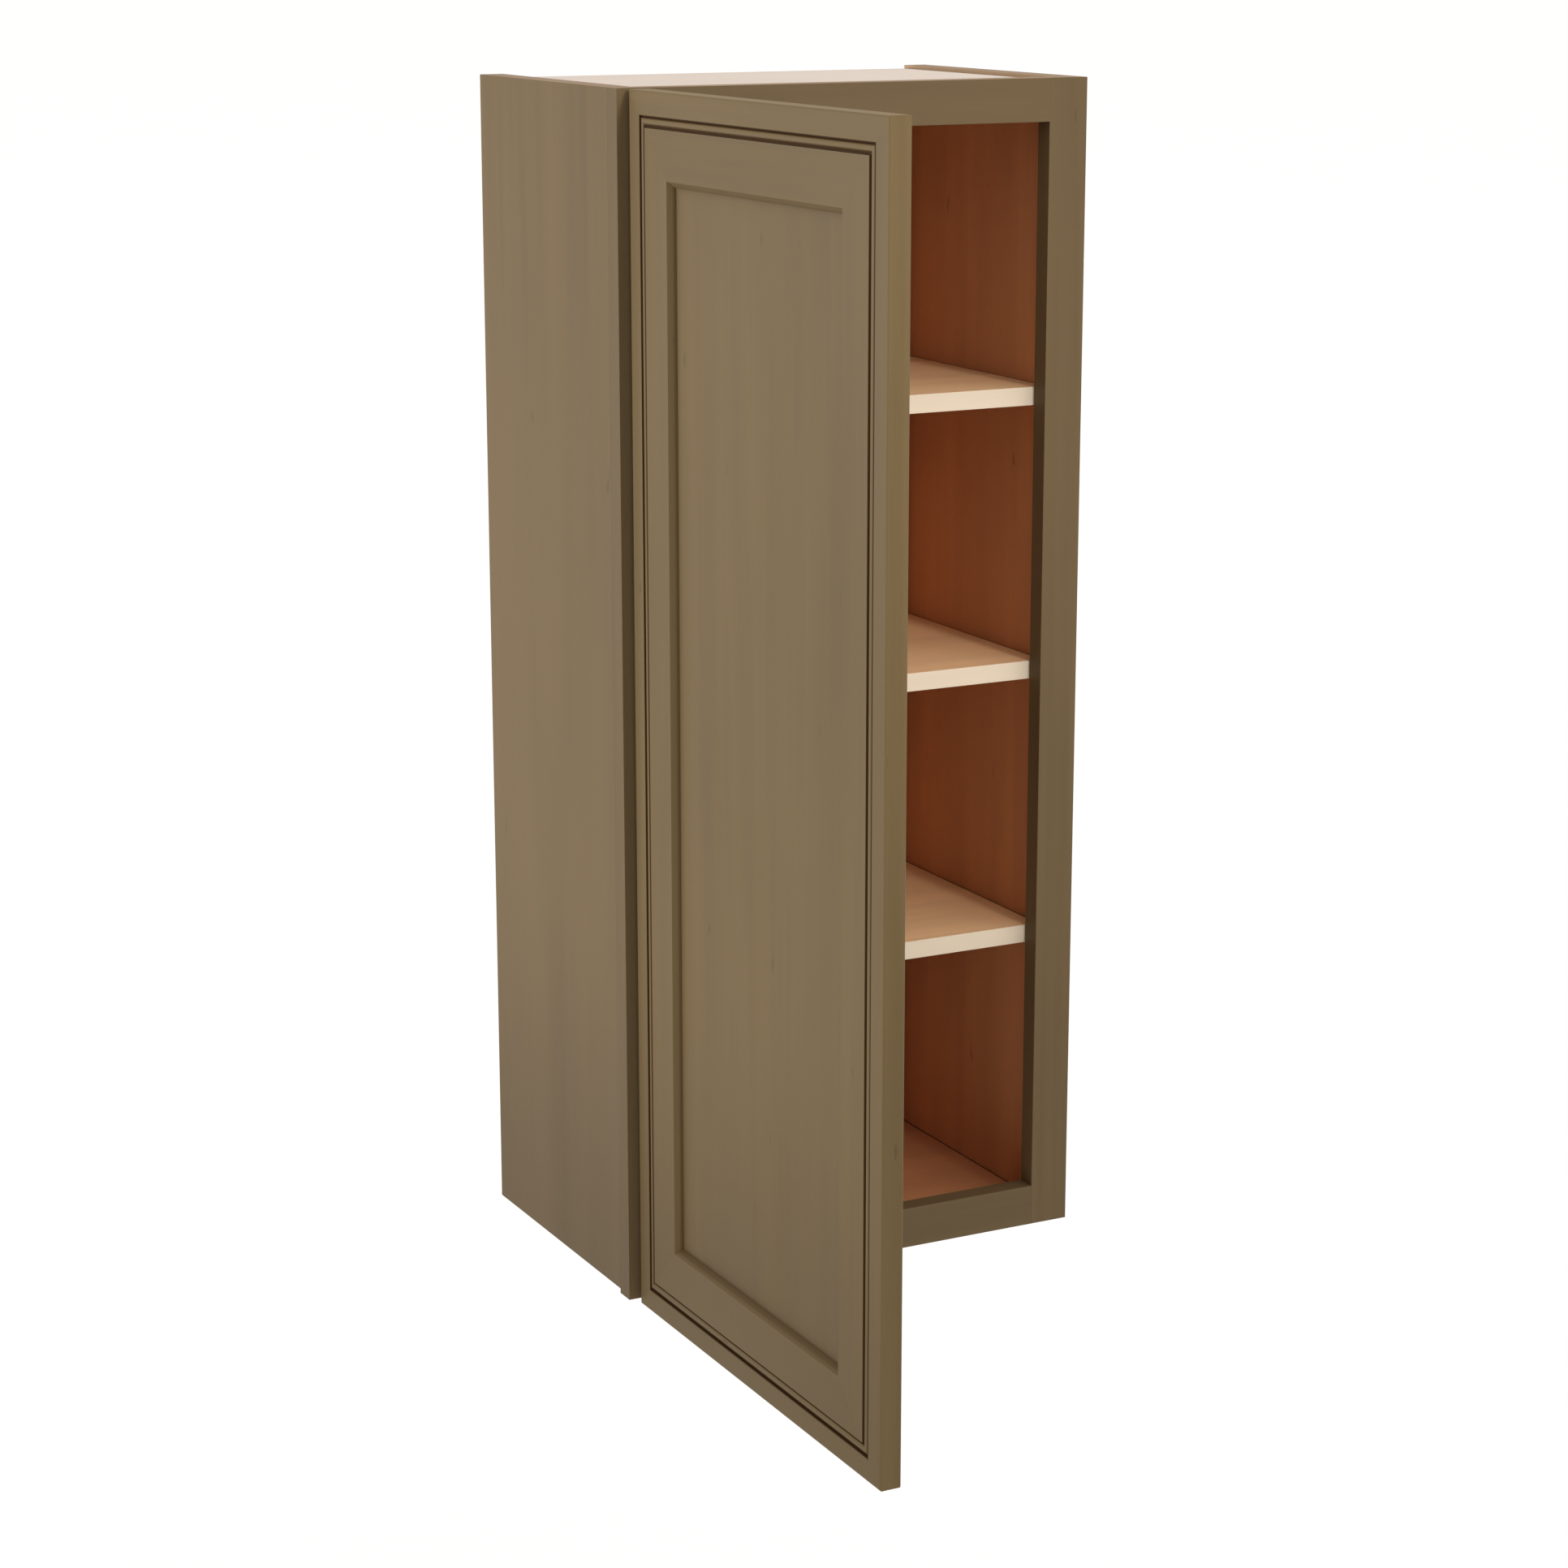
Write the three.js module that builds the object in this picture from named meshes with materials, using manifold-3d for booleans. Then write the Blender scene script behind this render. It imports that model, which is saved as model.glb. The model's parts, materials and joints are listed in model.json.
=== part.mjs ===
// Hanging wall cabinet with a face frame, one mitred door on cup hinges and three shelves.
// Units are millimetres and +Z is up. The door faces -Y.
// The origin is the centre of the upper hanging rail's back face, where the cabinet meets its wall.

import * as THREE from 'three';
import { mergeVertices } from 'three/addons/utils/BufferGeometryUtils.js';
import Module from 'manifold-3d';

const wasm = await Module();
wasm.setup();

// ---------------------------------------------------------------- driving dimensions

// Cabinet box. Cabinet coordinates start at the face frame's lower left front corner:
// x to the right, y to the wall, z up.
const CABINET_WIDTH = 457.2;
const CABINET_HEIGHT = 1066.8;
const CABINET_DEPTH = 292.1;
const GLUE_GAP = 0.1;

// Face frame
const FRAME_THICKNESS = 19.05;
const FRAME_WIDTH = 38.1;
const TENON_LENGTH = 12.7;
const TENON_THICKNESS = 6.35;
const TENON_SHOULDER = 6.35;

// Case
const SKIN_THICKNESS = 6.35;
const SIDE_THICKNESS = 15.875;
const CASE_BOTTOM = 4.3;
const DADO_DEPTH = 6;
const PANEL_THICKNESS = 12.7;
const TOP_RECESS = 3.2;
const HANGING_RAIL_THICKNESS = 9.4;
const HANGING_RAIL_HEIGHT = 76.2;
const BACK_THICKNESS = 3.2;
const BACK_LAP = 10;

// Shelves and their pins
const SHELF_TOPS = [289.1, 540.8, 792.6];
const SHELF_NAMES = ['lower_shelf', 'middle_shelf', 'upper_shelf'];
const SHELF_THICKNESS = 16.6;
const EDGE_BAND_THICKNESS = 0.8;
const SHELF_FRONT_SETBACK = 1.45;
const SHELF_BACK_GAP = 1;
const SHELF_SIDE_GAP = 0.8;
const PIN_RADIUS = 2.5;
const PIN_SHANK = 9;
const PIN_HEAD_RADIUS = 4;
const PIN_HEAD_LENGTH = 8;
const PIN_CLEARANCE = 0.1;
const PIN_INSET_FRONT = 60;
const PIN_INSET_BACK = 46;

// Door. Door coordinates start at the hinge edge, on the back face, at the bottom:
// x away from the hinge edge, y into the room when negative, z up.
const DOOR_WIDTH = 444.5;
const DOOR_THICKNESS = 19.05;
const DOOR_BOTTOM = -2;
const DOOR_TOP = 1066.3;
const DOOR_HEIGHT = DOOR_TOP - DOOR_BOTTOM;
const DOOR_REVEAL = 6.35;
const DOOR_GAP = 3.2;
const DOOR_REST_ANGLE = Math.PI / 2;
const MEMBER_WIDTH = 76.2;
const MITRE_GAP = 0.1;
const FRONT_EASE = 1.6;
const BACK_CHAMFER = 1;
const BEAD_CHANNEL_START = 20.1;
const BEAD_CHANNEL_END = 30;
const BEAD_CHANNEL_DEPTH = 2.2;
const BEAD_QUIRK = 1.2;
const BEAD_TOP_DEPTH = 0.2;
const BEVEL_START = 71;
const BEVEL_DEPTH = 6;
const DOOR_PANEL_THICKNESS = 6.35;
const DOOR_PANEL_INSET = 6.2;
const PANEL_GROOVE_DEPTH = 10;
const PANEL_GROOVE_CLEARANCE = 0.1;
const PANEL_FLOAT = 1.5;

// Bumpers
const BUMPER_RADIUS = 5;
const BUMPER_HEIGHT = 2.8;
const BUMPER_INSET = 13;

// Hinges. The pivot is measured from the door's hinge edge and from its back face.
const HINGE_END_DISTANCE = 90;
const PIVOT_FROM_EDGE = 9;
const PIVOT_FROM_BACK = 12;
const CUP_FROM_EDGE = 20.5;
const CUP_BORE_RADIUS = 17.5;
const CUP_RADIUS = 17.3;
const CUP_WALL = 0.7;
const CUP_INNER_DEPTH = 14.5;
const CUP_BORE_DEPTH = 15.4;
const FLANGE_THICKNESS = 1;
const FLANGE_RIM_RADIUS = 18.3;
const FLANGE_HALF_LENGTH = 28;
const FLANGE_NEAR = 24;
const FLANGE_FAR = 36;
const HINGE_PIN_RADIUS = 1.2;
const HINGE_PIN_HALF_LENGTH = 11.5;
const EYE_CLEARANCE = 0.07;
const EYE_RADIUS = 2.2;
const ARM_THICKNESS = 1.6;
const ARM_HALF_WIDTH = 4.5;
const ARM_FOOT_HALF_WIDTH = 9;
const BASE_THICKNESS = 1.3;
const BASE_HALF_WIDTH = 14;
const BASE_TAB_LENGTH = 8;
const BASE_BACK = 15;
const STEEL_GAP = 0.1;

// Hinge screws
const FRAME_SCREW_FROM_FRONT = 8;
const FRAME_SCREW_RADIUS = 2;
const FRAME_SCREW_LENGTH = 15;
const FRAME_SCREW_HEAD_RADIUS = 3.6;
const FRAME_SCREW_HEAD_HEIGHT = 2;
const CUP_SCREW_FROM_EDGE = 30;
const CUP_SCREW_SPREAD = 22.5;
const CUP_SCREW_RADIUS = 1.75;
const CUP_SCREW_LENGTH = 12;
const CUP_SCREW_HEAD_RADIUS = 3.4;
const CUP_SCREW_HEAD_HEIGHT = 0.7;
const CUP_SCREW_TIP_ROOM = 1;
const SCREW_CLEARANCE = 0.15;

// How far a cutting shape reaches past the face that it cuts through
const CUT_MARGIN = 1;

// Facets on round work
const ROUND_SEGMENTS = 40;
const SMALL_SEGMENTS = 20;
const ARC_SEGMENTS = 8;

// ---------------------------------------------------------------- derived levels

const INNER_LEFT = SKIN_THICKNESS + SIDE_THICKNESS;
const INNER_RIGHT = CABINET_WIDTH - INNER_LEFT;
const CASE_FRONT = FRAME_THICKNESS + GLUE_GAP;
const RAIL_FRONT = CABINET_DEPTH - HANGING_RAIL_THICKNESS;
const REBATE_FRONT = RAIL_FRONT - GLUE_GAP;
const TOP_UPPER = CABINET_HEIGHT - TOP_RECESS;
const TOP_LOWER = TOP_UPPER - PANEL_THICKNESS;
const FLOOR_LOWER = CASE_BOTTOM;
const FLOOR_UPPER = FLOOR_LOWER + PANEL_THICKNESS;
const UPPER_RAIL_TOP = TOP_LOWER - GLUE_GAP;
const UPPER_RAIL_BOTTOM = UPPER_RAIL_TOP - HANGING_RAIL_HEIGHT;
const LOWER_RAIL_BOTTOM = FLOOR_UPPER + GLUE_GAP;
const LOWER_RAIL_TOP = LOWER_RAIL_BOTTOM + HANGING_RAIL_HEIGHT;
const UPPER_RAIL_MIDDLE = (UPPER_RAIL_TOP + UPPER_RAIL_BOTTOM) / 2;
const SHELF_FRONT = FRAME_THICKNESS + SHELF_FRONT_SETBACK;
const SHELF_BACK = REBATE_FRONT - SHELF_BACK_GAP;
const PIN_ROWS = { front: SHELF_FRONT + PIN_INSET_FRONT, back: SHELF_BACK - PIN_INSET_BACK };
const PIVOT_X = DOOR_REVEAL + PIVOT_FROM_EDGE;
const PIVOT_Y = -DOOR_GAP - PIVOT_FROM_BACK;
const HINGES = [
  { name: 'lower', height: DOOR_BOTTOM + HINGE_END_DISTANCE },
  { name: 'middle', height: (DOOR_BOTTOM + DOOR_TOP) / 2 },
  { name: 'upper', height: DOOR_TOP - HINGE_END_DISTANCE },
];

// ---------------------------------------------------------------- materials

function finish(color, roughness, metalness = 0) {
  return new THREE.MeshStandardMaterial({ color, roughness, metalness });
}

const stainedWood = finish(0x7c6a50, 0.5);
const naturalWood = finish(0x8c5330, 0.55);
const topBoard = finish(0xe2d4c6, 0.6);
const shelfBoard = finish(0xb98c66, 0.5);
const edgeBand = finish(0xe1d0b2, 0.45);
const backBoard = finish(0xa5714a, 0.6);
const nickelSteel = finish(0xb9babb, 0.3, 1);
const clearRubber = finish(0xd8d6cf, 0.4);

// ---------------------------------------------------------------- geometry helpers

// A box between two opposite corners.
function block([x0, y0, z0], [x1, y1, z1]) {
  const box = new THREE.BoxGeometry(x1 - x0, y1 - y0, z1 - z0);
  return box.translate((x0 + x1) / 2, (y0 + y1) / 2, (z0 + z1) / 2);
}

// Turns a shape made along +Y so that it points along the named direction.
const TURN_FROM_Y = {
  '+x': (geometry) => geometry.rotateZ(-Math.PI / 2),
  '-x': (geometry) => geometry.rotateZ(Math.PI / 2),
  '+y': (geometry) => geometry,
  '-y': (geometry) => geometry.rotateX(Math.PI),
  '+z': (geometry) => geometry.rotateX(Math.PI / 2),
};

// A round bar that starts at a point and runs along a direction.
function rod(direction, start, radius, length, segments = SMALL_SEGMENTS) {
  const bar = new THREE.CylinderGeometry(radius, radius, length, segments).translate(0, length / 2, 0);
  return TURN_FROM_Y[direction](bar).translate(...start);
}

// A stepped round piece. Each step is [radius, distance along the direction].
function turned(direction, start, steps, segments = SMALL_SEGMENTS) {
  const profile = steps.map(([radius, distance]) => new THREE.Vector2(radius, distance));
  return TURN_FROM_Y[direction](new THREE.LatheGeometry(profile, segments)).translate(...start);
}

// The same geometry with its shared vertices merged and its empty triangles left out.
function weld(geometry) {
  const bare = geometry.clone();
  bare.deleteAttribute('normal');
  bare.deleteAttribute('uv');
  const merged = mergeVertices(bare);
  const corners = merged.getIndex().array;
  const kept = [];
  for (let i = 0; i < corners.length; i += 3) {
    const [a, b, c] = corners.slice(i, i + 3);
    if (a !== b && b !== c && c !== a) kept.push(a, b, c);
  }
  merged.setIndex(kept);
  return merged;
}

function solidOf(geometry) {
  const welded = weld(geometry);
  return new wasm.Manifold(new wasm.Mesh({
    numProp: 3,
    vertProperties: new Float32Array(welded.getAttribute('position').array),
    triVerts: new Uint32Array(welded.getIndex().array),
  }));
}

function geometryOf(solid) {
  const mesh = solid.getMesh();
  const geometry = new THREE.BufferGeometry();
  geometry.setAttribute('position', new THREE.BufferAttribute(mesh.vertProperties, 3));
  geometry.setIndex(new THREE.BufferAttribute(mesh.triVerts, 1));
  geometry.computeVertexNormals();
  return geometry;
}

// Joins the first geometry with the added ones, then cuts the removed ones out of it.
function combine(first, { add = [], remove = [] }) {
  let solid = solidOf(first);
  for (const geometry of add) solid = solid.add(solidOf(geometry));
  for (const geometry of remove) solid = solid.subtract(solidOf(geometry));
  return geometryOf(solid);
}

function piece(name, geometry, material) {
  const mesh = new THREE.Mesh(geometry, material);
  mesh.name = name;
  return mesh;
}

function group(...children) {
  const holder = new THREE.Group();
  holder.add(...children);
  return holder;
}

// ---------------------------------------------------------------- face frame

// The stub tenons on a rail's two ends, or, grown by the glue gap, the mortises that take them.
function tenons(bottom, grow = 0) {
  const rear = (FRAME_THICKNESS + TENON_THICKNESS) / 2 + grow;
  const front = (FRAME_THICKNESS - TENON_THICKNESS) / 2 - grow;
  const low = bottom + TENON_SHOULDER - grow;
  const high = bottom + FRAME_WIDTH - TENON_SHOULDER + grow;
  const reach = FRAME_WIDTH - TENON_LENGTH - grow;
  return block([reach, front, low], [CABINET_WIDTH - reach, rear, high]);
}

function frameRail(name, bottom) {
  const left = FRAME_WIDTH + GLUE_GAP;
  const body = block([left, 0, bottom], [CABINET_WIDTH - left, FRAME_THICKNESS, bottom + FRAME_WIDTH]);
  return piece(name, combine(body, { add: [tenons(bottom)] }), stainedWood);
}

function frameStile(name, left, extraHoles) {
  const body = block([left, 0, 0], [left + FRAME_WIDTH, FRAME_THICKNESS, CABINET_HEIGHT]);
  const mortises = [0, CABINET_HEIGHT - FRAME_WIDTH].map((bottom) => tenons(bottom, GLUE_GAP));
  return piece(name, combine(body, { remove: [...mortises, ...extraHoles] }), stainedWood);
}

function frameScrewPilots() {
  const radius = FRAME_SCREW_RADIUS + SCREW_CLEARANCE;
  const depth = FRAME_SCREW_LENGTH + SCREW_CLEARANCE;
  return HINGES.map(({ height }) => (
    rod('-x', [FRAME_WIDTH + GLUE_GAP, FRAME_SCREW_FROM_FRONT, height], radius, depth)
  ));
}

function faceFrame() {
  return group(
    frameStile('frame_left_stile', 0, frameScrewPilots()),
    frameStile('frame_right_stile', CABINET_WIDTH - FRAME_WIDTH, []),
    frameRail('frame_top_rail', CABINET_HEIGHT - FRAME_WIDTH),
    frameRail('frame_bottom_rail', 0),
  );
}

// ---------------------------------------------------------------- case

// The pin holes on one side, which start at its inner face and run outwards.
function pinHoles(innerFace, direction) {
  return SHELF_TOPS.flatMap((top) => Object.values(PIN_ROWS).map((y) => {
    const z = top - SHELF_THICKNESS - PIN_HEAD_RADIUS - GLUE_GAP;
    const start = innerFace - (direction === '-x' ? -PIN_CLEARANCE : PIN_CLEARANCE);
    return rod(direction, [start, y, z], PIN_RADIUS + PIN_CLEARANCE, PIN_SHANK + 2 * PIN_CLEARANCE);
  }));
}

// One side with dadoes for the top and floor, a rebate for the back and holes for the shelf pins.
function side(name, outerFace, innerFace, direction) {
  const outward = Math.sign(outerFace - innerFace);
  const dadoBottom = innerFace + outward * (DADO_DEPTH + GLUE_GAP);
  const past = innerFace - outward * CUT_MARGIN;
  const [left, right] = [outerFace, innerFace].sort((a, b) => a - b);
  const [dadoLeft, dadoRight] = [dadoBottom, past].sort((a, b) => a - b);
  const board = block([left, CASE_FRONT, CASE_BOTTOM], [right, CABINET_DEPTH, CABINET_HEIGHT]);
  const below = CASE_BOTTOM - CUT_MARGIN;
  const behind = CABINET_DEPTH + CUT_MARGIN;
  const ahead = CASE_FRONT - CUT_MARGIN;
  const remove = [
    block([dadoLeft, ahead, TOP_LOWER - GLUE_GAP], [dadoRight, behind, TOP_UPPER + GLUE_GAP]),
    block([dadoLeft, ahead, below], [dadoRight, behind, FLOOR_UPPER + GLUE_GAP]),
    block([dadoLeft, REBATE_FRONT, below], [dadoRight, behind, TOP_UPPER + GLUE_GAP]),
    ...pinHoles(innerFace, direction),
  ];
  return piece(name, combine(board, { remove }), naturalWood);
}

function endSkin(name, left) {
  const body = block(
    [left, CASE_FRONT, CASE_BOTTOM],
    [left + SKIN_THICKNESS - GLUE_GAP, CABINET_DEPTH, CABINET_HEIGHT],
  );
  return piece(name, body, stainedWood);
}

// A board that spans the two sides and sits in their dadoes.
function spanningBoard(name, low, high, back, material) {
  const left = INNER_LEFT - DADO_DEPTH;
  return piece(name, block([left, CASE_FRONT, low], [CABINET_WIDTH - left, back, high]), material);
}

// A hanging rail with a rebate along one edge, in which the back panel laps over it.
function hangingRail(name, bottom, rebateBottom) {
  const left = INNER_LEFT - DADO_DEPTH;
  const right = CABINET_WIDTH - left;
  const body = block([left, RAIL_FRONT, bottom], [right, CABINET_DEPTH, bottom + HANGING_RAIL_HEIGHT]);
  const rebate = block(
    [left - CUT_MARGIN, RAIL_FRONT - CUT_MARGIN, rebateBottom],
    [right + CUT_MARGIN, RAIL_FRONT + BACK_THICKNESS + GLUE_GAP, rebateBottom + BACK_LAP],
  );
  return piece(name, combine(body, { remove: [rebate] }), naturalWood);
}

function backPanel() {
  const left = INNER_LEFT - DADO_DEPTH;
  const low = LOWER_RAIL_TOP - BACK_LAP + GLUE_GAP;
  const high = UPPER_RAIL_BOTTOM + BACK_LAP - GLUE_GAP;
  const body = block([left, RAIL_FRONT, low], [CABINET_WIDTH - left, RAIL_FRONT + BACK_THICKNESS, high]);
  return piece('back_panel', body, backBoard);
}

function caseBox() {
  const skinInner = SKIN_THICKNESS;
  return group(
    endSkin('left_end_skin', 0),
    endSkin('right_end_skin', CABINET_WIDTH - SKIN_THICKNESS + GLUE_GAP),
    side('left_side', skinInner, INNER_LEFT, '-x'),
    side('right_side', CABINET_WIDTH - skinInner, INNER_RIGHT, '+x'),
    spanningBoard('top_panel', TOP_LOWER, TOP_UPPER, CABINET_DEPTH, topBoard),
    spanningBoard('floor_panel', FLOOR_LOWER, FLOOR_UPPER, CABINET_DEPTH, naturalWood),
    hangingRail('upper_hanging_rail', UPPER_RAIL_BOTTOM, UPPER_RAIL_BOTTOM),
    hangingRail('lower_hanging_rail', LOWER_RAIL_BOTTOM, LOWER_RAIL_TOP - BACK_LAP),
    backPanel(),
  );
}

// ---------------------------------------------------------------- shelves

// A pin pushed into a side hole, with a larger head that carries the shelf.
function shelfPin(name, innerFace, y, shelfBottom, direction) {
  const inward = direction === '+x' ? 1 : -1;
  const start = [innerFace - inward * PIN_SHANK, y, shelfBottom - PIN_HEAD_RADIUS - GLUE_GAP];
  const steps = [
    [0, 0],
    [PIN_RADIUS, 0],
    [PIN_RADIUS, PIN_SHANK + GLUE_GAP],
    [PIN_HEAD_RADIUS, PIN_SHANK + GLUE_GAP],
    [PIN_HEAD_RADIUS, PIN_SHANK + PIN_HEAD_LENGTH],
    [0, PIN_SHANK + PIN_HEAD_LENGTH],
  ];
  return piece(name, turned(direction, start, steps), nickelSteel);
}

// A shelf board, the band glued to its front edge and the four pins under it.
function shelf(name, top) {
  const left = INNER_LEFT + SHELF_SIDE_GAP;
  const right = CABINET_WIDTH - left;
  const bottom = top - SHELF_THICKNESS;
  const bandBack = SHELF_FRONT + EDGE_BAND_THICKNESS;
  const band = block([left, SHELF_FRONT, bottom], [right, bandBack, top]);
  const board = block([left, bandBack + GLUE_GAP, bottom], [right, SHELF_BACK, top]);
  const pins = Object.entries(PIN_ROWS).flatMap(([row, y]) => [
    shelfPin(`${name}_pin_left_${row}`, INNER_LEFT, y, bottom, '+x'),
    shelfPin(`${name}_pin_right_${row}`, INNER_RIGHT, y, bottom, '-x'),
  ]);
  return group(piece(name, board, shelfBoard), piece(`${name}_edge_band`, band, edgeBand), ...pins);
}

// ---------------------------------------------------------------- door

// The section of a door member: x from the outer edge inwards, y from the front face to the back.
function memberSection() {
  const front = -DOOR_THICKNESS;
  const channelFloor = front + BEAD_CHANNEL_DEPTH;
  const beadStart = BEAD_CHANNEL_START + BEAD_QUIRK;
  const beadEnd = BEAD_CHANNEL_END - BEAD_QUIRK;
  const beadRadius = (beadEnd - beadStart) / 2;
  const beadRise = BEAD_CHANNEL_DEPTH - BEAD_TOP_DEPTH;
  const grooveFront = front + DOOR_PANEL_INSET - PANEL_GROOVE_CLEARANCE;
  const grooveBack = grooveFront + DOOR_PANEL_THICKNESS + 2 * PANEL_GROOVE_CLEARANCE;
  const grooveEnd = MEMBER_WIDTH - PANEL_GROOVE_DEPTH;
  const section = new THREE.Shape();
  section.moveTo(BACK_CHAMFER, 0);
  section.lineTo(0, -BACK_CHAMFER);
  section.lineTo(0, front + FRONT_EASE);
  section.absarc(FRONT_EASE, front + FRONT_EASE, FRONT_EASE, Math.PI, 1.5 * Math.PI);
  section.lineTo(BEAD_CHANNEL_START, front);
  section.lineTo(BEAD_CHANNEL_START, channelFloor);
  section.lineTo(beadStart, channelFloor);
  section.absellipse(beadStart + beadRadius, channelFloor, beadRadius, beadRise, Math.PI, 2 * Math.PI);
  section.lineTo(BEAD_CHANNEL_END, channelFloor);
  section.lineTo(BEAD_CHANNEL_END, front);
  section.lineTo(BEVEL_START, front);
  section.lineTo(MEMBER_WIDTH, front + BEVEL_DEPTH);
  section.lineTo(MEMBER_WIDTH, grooveFront);
  section.lineTo(grooveEnd, grooveFront);
  section.lineTo(grooveEnd, grooveBack);
  section.lineTo(MEMBER_WIDTH, grooveBack);
  section.lineTo(MEMBER_WIDTH, 0);
  return section;
}

// A door member along +Z with both ends mitred: each end moves in by the distance from the edge.
function mitredMember(length) {
  const member = new THREE.ExtrudeGeometry(memberSection(), {
    depth: length,
    bevelEnabled: false,
    curveSegments: ARC_SEGMENTS,
  });
  const position = member.getAttribute('position');
  for (let i = 0; i < position.count; i += 1) {
    const inset = position.getX(i) + MITRE_GAP;
    const atStart = position.getZ(i) < length / 2;
    position.setZ(i, atStart ? inset : length - inset);
  }
  return member;
}

// The cup bores and screw pilots in the hinge stile's back.
function hingeBores() {
  return HINGES.flatMap(({ height }) => {
    const z = height - DOOR_BOTTOM;
    const bore = rod(
      '-y',
      [CUP_FROM_EDGE, CUT_MARGIN, z],
      CUP_BORE_RADIUS,
      CUP_BORE_DEPTH + CUT_MARGIN,
      ROUND_SEGMENTS,
    );
    const pilots = [-CUP_SCREW_SPREAD, CUP_SCREW_SPREAD].map((offset) => rod(
      '-y',
      [CUP_SCREW_FROM_EDGE, CUT_MARGIN, z + offset],
      CUP_SCREW_RADIUS + SCREW_CLEARANCE,
      CUP_SCREW_LENGTH + CUT_MARGIN,
    ));
    return [bore, ...pilots];
  });
}

function doorPanel() {
  const margin = MEMBER_WIDTH - PANEL_GROOVE_DEPTH + PANEL_FLOAT;
  const front = -DOOR_THICKNESS + DOOR_PANEL_INSET;
  const body = block(
    [margin, front, margin],
    [DOOR_WIDTH - margin, front + DOOR_PANEL_THICKNESS, DOOR_HEIGHT - margin],
  );
  return piece('door_panel', body, stainedWood);
}

function bumper(name, z) {
  const body = rod('+y', [DOOR_WIDTH - BUMPER_INSET, GLUE_GAP, z], BUMPER_RADIUS, BUMPER_HEIGHT);
  return piece(name, body, clearRubber);
}

// A pressed steel cup with its flange, open at the back of the door.
function hingeCup(name, z) {
  const outer = rod(
    '-y',
    [CUP_FROM_EDGE, STEEL_GAP, z],
    CUP_RADIUS,
    CUP_INNER_DEPTH + CUP_WALL + STEEL_GAP,
    ROUND_SEGMENTS,
  );
  const rim = rod('+y', [CUP_FROM_EDGE, STEEL_GAP, z], FLANGE_RIM_RADIUS, FLANGE_THICKNESS, ROUND_SEGMENTS);
  const wings = block(
    [FLANGE_NEAR, STEEL_GAP, z - FLANGE_HALF_LENGTH],
    [FLANGE_FAR, STEEL_GAP + FLANGE_THICKNESS, z + FLANGE_HALF_LENGTH],
  );
  const hollow = rod(
    '-y',
    [CUP_FROM_EDGE, 2 * FLANGE_THICKNESS, z],
    CUP_RADIUS - CUP_WALL,
    CUP_INNER_DEPTH + 2 * FLANGE_THICKNESS,
    ROUND_SEGMENTS,
  );
  const pinHole = rod(
    '+z',
    [PIVOT_FROM_EDGE, -PIVOT_FROM_BACK, z - CUP_RADIUS],
    HINGE_PIN_RADIUS + STEEL_GAP,
    2 * CUP_RADIUS,
  );
  const screwHoles = [-CUP_SCREW_SPREAD, CUP_SCREW_SPREAD].map((offset) => rod(
    '+y',
    [CUP_SCREW_FROM_EDGE, -CUT_MARGIN, z + offset],
    CUP_SCREW_RADIUS + SCREW_CLEARANCE,
    FLANGE_THICKNESS + 2 * CUT_MARGIN,
  ));
  const body = combine(outer, { add: [rim, wings], remove: [hollow, pinHole, ...screwHoles] });
  return piece(name, body, nickelSteel);
}

function hingePin(name, z) {
  const start = [PIVOT_FROM_EDGE, -PIVOT_FROM_BACK, z - HINGE_PIN_HALF_LENGTH];
  return piece(name, rod('+z', start, HINGE_PIN_RADIUS, 2 * HINGE_PIN_HALF_LENGTH), nickelSteel);
}

function cupScrew(name, z) {
  const shank = CUP_SCREW_LENGTH - CUP_SCREW_TIP_ROOM;
  const seat = shank + FLANGE_THICKNESS + 2 * STEEL_GAP;
  const steps = [
    [0, 0],
    [CUP_SCREW_RADIUS, CUP_SCREW_RADIUS],
    [CUP_SCREW_RADIUS, seat],
    [CUP_SCREW_HEAD_RADIUS, seat],
    [CUP_SCREW_RADIUS, seat + CUP_SCREW_HEAD_HEIGHT],
    [0, seat + CUP_SCREW_HEAD_HEIGHT],
  ];
  return piece(name, turned('+y', [CUP_SCREW_FROM_EDGE, -shank, z], steps), nickelSteel);
}

function door() {
  const hingeStile = combine(mitredMember(DOOR_HEIGHT), { remove: hingeBores() });
  const freeStile = mitredMember(DOOR_HEIGHT).rotateY(Math.PI).translate(DOOR_WIDTH, 0, DOOR_HEIGHT);
  const bottomRail = mitredMember(DOOR_WIDTH).rotateY(-Math.PI / 2).translate(DOOR_WIDTH, 0, 0);
  const topRail = mitredMember(DOOR_WIDTH).rotateY(Math.PI / 2).translate(0, 0, DOOR_HEIGHT);
  const hardware = HINGES.flatMap(({ name, height }) => {
    const z = height - DOOR_BOTTOM;
    return [
      hingeCup(`${name}_hinge_cup`, z),
      hingePin(`${name}_hinge_pin`, z),
      cupScrew(`${name}_hinge_cup_screw_low`, z - CUP_SCREW_SPREAD),
      cupScrew(`${name}_hinge_cup_screw_high`, z + CUP_SCREW_SPREAD),
    ];
  });
  const leaf = group(
    piece('door_hinge_stile', hingeStile, stainedWood),
    piece('door_free_stile', freeStile, stainedWood),
    piece('door_bottom_rail', bottomRail, stainedWood),
    piece('door_top_rail', topRail, stainedWood),
    doorPanel(),
    bumper('door_bumper_low', BUMPER_INSET),
    bumper('door_bumper_high', DOOR_HEIGHT - BUMPER_INSET),
    ...hardware,
  );
  leaf.position.set(-PIVOT_FROM_EDGE, PIVOT_FROM_BACK, DOOR_BOTTOM);
  const swing = group(leaf);
  swing.position.set(PIVOT_X, PIVOT_Y, 0);
  swing.rotation.z = -DOOR_REST_ANGLE;
  return swing;
}

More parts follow.
